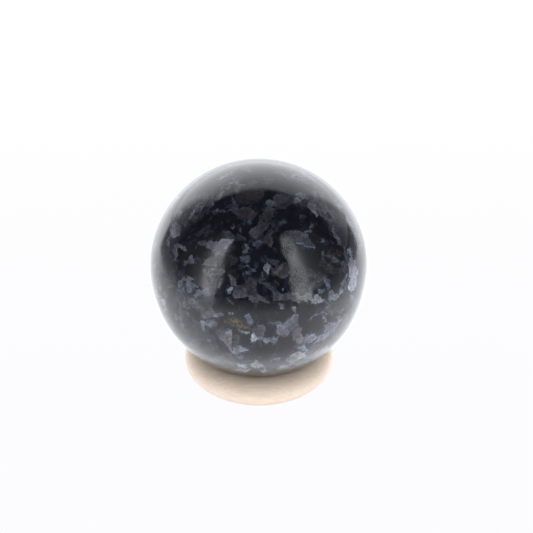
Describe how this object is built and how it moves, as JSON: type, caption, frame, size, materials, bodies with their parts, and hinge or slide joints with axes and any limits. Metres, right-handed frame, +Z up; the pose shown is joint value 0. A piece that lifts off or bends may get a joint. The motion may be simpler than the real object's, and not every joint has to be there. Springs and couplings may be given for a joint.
{
  "type": "decorative sphere",
  "caption": "Polished dark stone ball with pale angular grains, resting in a turned wooden ring stand.",
  "frame": {"origin": "centre of the ring stand's underside, on the surface it stands on", "axes": "+Z up along the ring's axis and through the ball's centre; the part is round about it, and -Y is the side towards the viewer"},
  "size_m": [0.06, 0.06, 0.0633],
  "materials": {
    "polished_stone": "high polish, near-black indigo ground with angular grey-lavender grains and brownish-gold specks",
    "pale_wood": "turned and sanded smooth, bare or lightly waxed, faint fine grain"
  },
  "bodies": {
    "root": {"stone_sphere": "polished_stone", "ring_stand": "pale_wood"}
  },
  "joints": []
}
